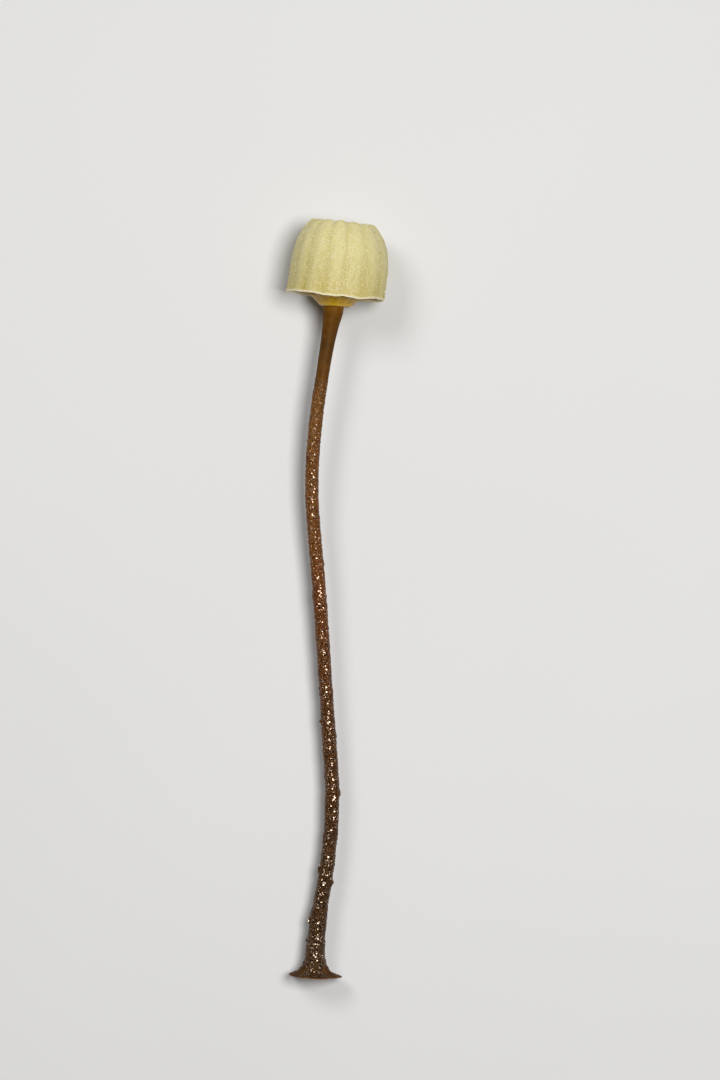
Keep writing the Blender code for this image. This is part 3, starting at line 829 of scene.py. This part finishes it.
def roughenStem(piece, total):
    # a granular crust that grows coarser towards the foot, and small glossy beads on it
    places = points(piece)
    facing = normals(piece)
    height = places[:, 2] / mm
    across = np.hypot(places[:, 0], places[:, 1])
    angle = np.arctan2(places[:, 1], places[:, 0])
    # the flared foot is a smooth thin membrane, down which the crust runs in three broad streaks
    streak = np.clip(0.6 + 2.6 * np.cos(3 * (angle + math.pi / 2)), 0, 1)
    streak *= np.interp(across / mm, stem["streakEnd"], [1, 0])
    membrane = np.interp(across / mm, stem["membraneStart"], [0, 1]) * (1 - streak) * (height < 2)
    crust = np.interp(height, [0.1, 0.3, 1.5, 18, 40, 44, 48, total],
                      [0, 0.7, 1.0, 0.9, 0.85, 0.7, 0.3, 0.06])
    crust *= 1 - membrane
    net = netAt(places, stem["cell"])
    big = np.clip(grainsAt(places, 1.6 * stem["cell"], 11.3) - 0.5, 0, 1) * 2
    lumps = noiseAt(places, 0.9) * np.interp(height, [0, 1, 2, 45, total], [0, 0, 1, 0.3, 0])
    fine = noiseAt(places, 0.15, 5.5)
    relief = stem["netHeight"] * net + stem["grainHeight"] * big + stem["toothHeight"] * fine - stem["sunk"]
    move = stem["lumps"] * lumps + crust * relief
    move += 0.008 * fine * np.interp(height, [43, 48], [0, 1])
    for wartHeight, turn, wide, thick in stem["warts"]:
        around = (np.degrees(angle) + 90 - turn + 180) % 360 - 180
        aside = np.radians(around) * across / mm
        move += thick * np.exp(-(np.hypot(aside, height - wartHeight) / wide) ** 2)
    low = np.clip(1 - height / stem["lobeTop"], 0, 1) * (across > stem["footRadius"] / 2 * mm)
    waves = np.sin(3 * angle + 0.5) + 0.6 * np.sin(5 * angle + 2.0) + 0.35 * np.sin(11 * angle)
    lobe = stem["lobe"] * low * waves
    places += facing * (move * mm)[:, None]
    places[:, :2] *= (1 + lobe * mm / np.maximum(across, 1e-6))[:, None]
    movePoints(piece, places)
    spokes = noiseAt(np.stack([angle * mm, 0.25 * across, 0 * angle], axis=1), 0.16, 3.3) * membrane
    under = np.clip(-1.5 * facing[:, 2], 0, 1) * (height < 0.5)  # paler matted threads under the foot
    threads = under * (0.75 + 0.8 * noiseAt(places, 0.35, 6.1))
    # painted highlight on the crust's ridges and grain tops and painted shade in its pits; the foot's spokes
    # and threads are their own colour
    storeShare(piece, "grain", (crust * (0.25 * net + 0.3 * big) + 0.5 * spokes) * (1 - under) + threads)
    storeShare(piece, "pit", (crust * 0.7 * (1 - net) - 0.6 * spokes) * (1 - under))
    storeShare(piece, "membrane", membrane)
    # each point of the skin has its own draws, so rounding in the subdivision can't reshuffle the beads
    chance = np.random.default_rng(stem["seed"])
    inOrder = ringOrder(height, angle, 2 ** stem["levels"] * stem["sides"])
    draws = np.empty((len(places), 13))
    draws[inOrder, :7] = chance.uniform(0, 1, (len(places), 7))
    draws[inOrder, 7:] = chance.normal(0, 1, (len(places), 6))
    stick, order, keep, grown, pale, dull, proud = draws[:, :7].T
    lean, sideways = stem["beadTilt"] * draws[:, 7:10], draws[:, 10:]
    around = (angle + 0.02) % (2 * math.pi) * across / mm
    cell = np.stack([height + 0.0137, around], axis=1) // stem["spacing"]
    small, large = stem["beadSizes"]
    beadPieces = []
    for name, low, high, scale in stem["crusts"]:
        near = np.flatnonzero((height > low) & (height <= high) & (stick < 4 * crust**2))
        near = near[np.argsort(order[near])]
        _, first = np.unique(cell[near], axis=0, return_index=True)
        chosen = near[first]
        chosen = chosen[np.argsort(keep[chosen])][:stem["beads"]]
        assert len(chosen) == stem["beads"], (name, len(first))
        sizes = scale * (small + (large - small) * grown[chosen] ** 2)
        lift = stem["beadLift"] * sizes * mm * proud[chosen] ** 4
        spots = points(piece)[chosen] + facing[chosen] * lift[:, None]
        beads = strewGrains(name, stem["beadSteps"], spots, (facing + lean)[chosen], sideways[chosen], sizes)
        corners = len(beads.data.vertices) // stem["beads"]
        paler = 0.24 + np.interp(height[chosen], [28, 38], [0, 0.36])
        storeShare(beads, "grain", np.repeat(paler * pale[chosen], corners))
        storeShare(beads, "pit", np.repeat(np.clip(0.75 - pale[chosen], 0, 1), corners))
        matted = 0.25 * dull[chosen] ** 2 + np.interp(height[chosen], [42, 46], [0, 0.5])
        storeShare(beads, "dull", np.repeat(matted, corners))
        beadPieces.append(beads)
    return beadPieces


def bendStem(piece, line, along):
    # each ring of the straight stalk goes to its place on the line, square to it
    places = points(piece)
    height = np.clip(places[:, 2] / mm, 0, along[-1])
    centre = np.stack([np.interp(height, along, line[:, k]) for k in range(3)], axis=1)
    way = np.gradient(line, along, axis=0)
    way = np.stack([np.interp(height, along, way[:, k]) for k in range(3)], axis=1)
    way /= np.linalg.norm(way, axis=1)[:, None]
    side = np.cross((0.0, 1.0, 0.0), way)
    side /= np.linalg.norm(side, axis=1)[:, None]
    back = np.cross(way, side)
    below = (places[:, 2] / mm - height)[:, None] * way
    movePoints(piece, (centre + below) * mm + side * places[:, :1] + back * places[:, 1:2])


stemPiece, line, along, total = makeStem()
beadPieces = roughenStem(stemPiece, total)
bendStem(stemPiece, line, along)
finishPiece(stemPiece, "stem", stemMaterial, Matrix.Identity(4))
for beads in beadPieces:
    bendStem(beads, line, along)
    finishPiece(beads, "stem", crustMaterial, Matrix.Identity(4), smooth=False)
print("stem modelled:", len(stemPiece.data.polygons), "faces and", len(beadPieces) * stem["beads"], "beads")


# Floor, light and camera

studio = dict(
    floorSize=1.2,
    cameraAway=0.320,
    frameCentre=(3.6, 34.96),  # mm in the growing mushroom's space: sideways and up
    frameHeight=86.4,
    sensor=36.0,
    skyColour="f2f4f8",
    skyStrength=0.07,
    key=dict(place=(-0.12, 0.13, 0.26), size=0.12, watts=0.30),
    front=dict(place=(0.08, 0.02, 0.33), size=0.13, watts=0.98),
)


def makeFloor():
    bpy.ops.object.select_all(action="DESELECT")
    bpy.ops.mesh.primitive_plane_add(size=studio["floorSize"], location=(0, 0, 0))
    floor = bpy.context.active_object
    floor.name = floor.data.name = "floor"
    floor.data.materials.append(makeFloorMaterial())


def makeLight(name, place, size, watts):
    light = bpy.data.lights.new(name, "AREA")
    light.shape = "DISK"
    light.size = size
    light.energy = watts
    lamp = bpy.data.objects.new(name, light)
    bpy.context.scene.collection.objects.link(lamp)
    lamp.location = place
    lamp.rotation_euler = (-Vector(place)).to_track_quat("-Z", "Y").to_euler()


def makeCamera():
    view = bpy.data.cameras.new("camera")
    camera = bpy.data.objects.new("camera", view)
    bpy.context.scene.collection.objects.link(camera)
    view.sensor_width = studio["sensor"]
    view.lens = studio["sensor"] * studio["cameraAway"] / (studio["frameHeight"] * mm)
    view.clip_start = 0.01
    view.clip_end = 5.0
    across, up = studio["frameCentre"]
    spot = Vector((across * mm, -studio["cameraAway"], up * mm))
    camera.matrix_world = layDown() @ Matrix.Translation(spot) @ Matrix.Rotation(math.pi / 2, 4, "X")
    bpy.context.scene.camera = camera


def makeWorld():
    world = bpy.data.worlds.new("studio")
    world.use_nodes = True
    background = world.node_tree.nodes["Background"]
    setInputs(world.node_tree, background, {
        "Color": hexColour(studio["skyColour"]), "Strength": studio["skyStrength"]})
    bpy.context.scene.world = world


makeFloor()
for name in ("key", "front"):
    makeLight(name, **studio[name])
makeCamera()
makeWorld()
bpy.context.scene.view_settings.view_transform = "Standard"
print("studio ready")
